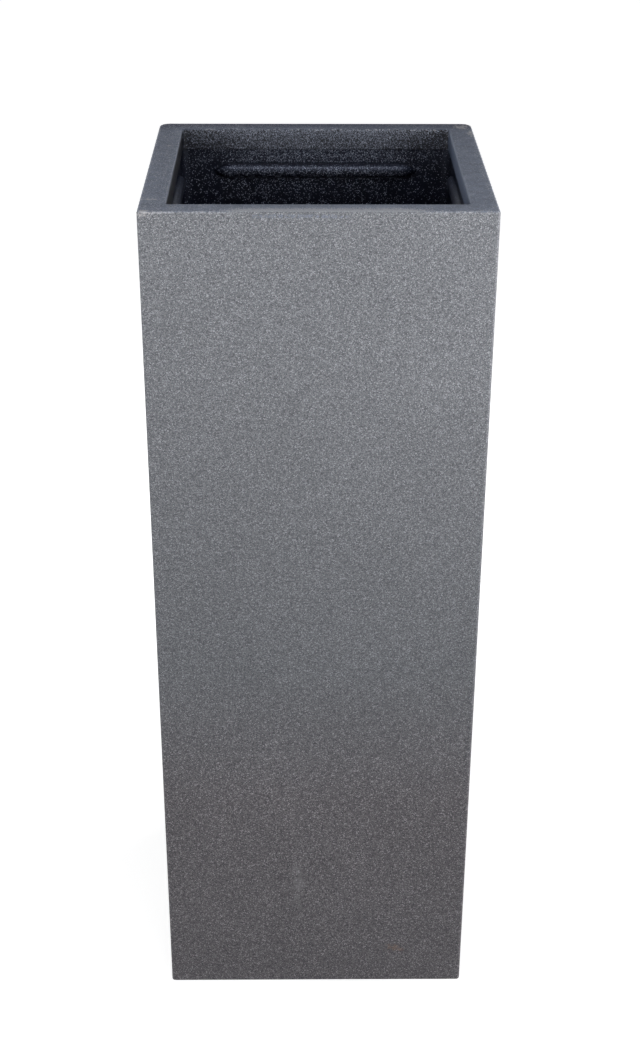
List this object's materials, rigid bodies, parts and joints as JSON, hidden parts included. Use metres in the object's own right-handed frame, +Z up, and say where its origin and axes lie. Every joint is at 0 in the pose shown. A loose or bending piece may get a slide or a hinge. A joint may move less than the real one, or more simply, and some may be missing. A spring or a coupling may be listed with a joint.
{
  "type": "tall fiberglass planter",
  "caption": "Tall square floor planter with barely drawn-in double walls, a flat rim with a folded lip, half-round beads inside the mouth and a plugged drain in its floor.",
  "frame": {"origin": "on the ground under the middle of the planter", "axes": "+Z up, -Y towards the front wall, +X to the right seen from the front"},
  "size_m": [0.3, 0.3, 0.8],
  "materials": {
    "granite_gelcoat": "sprayed granite-effect gel coat, dark blue-grey with fine light and dark flecks; smooth and plain on the rim",
    "core_foam": "cut rigid foam board",
    "bare_laminate": "bare glass-fibre laminate",
    "drain_fitting": "moulded black plastic",
    "rubber": "matt black rubber"
  },
  "bodies": {
    "planter": {"outer_casing": "granite_gelcoat", "inner_casing": "granite_gelcoat", "base_panel": "bare_laminate", "core_board_base": "core_foam", "core_board_back": "core_foam", "core_board_left": "core_foam", "core_board_front": "core_foam", "core_board_right": "core_foam", "stiffener_bead_back": "granite_gelcoat", "stiffener_bead_left": "granite_gelcoat", "stiffener_bead_front": "granite_gelcoat", "stiffener_bead_right": "granite_gelcoat", "drain_bush": "drain_fitting", "drain_gasket": "rubber", "drain_nut": "drain_fitting"},
    "drain_plug": {"drain_plug": "rubber"}
  },
  "joints": [
    {"name": "drain_plug_lift", "type": "slide", "parent": "planter", "child": "drain_plug", "axis": [0, 0, 1], "range_m": [0, 0.8]}
  ]
}
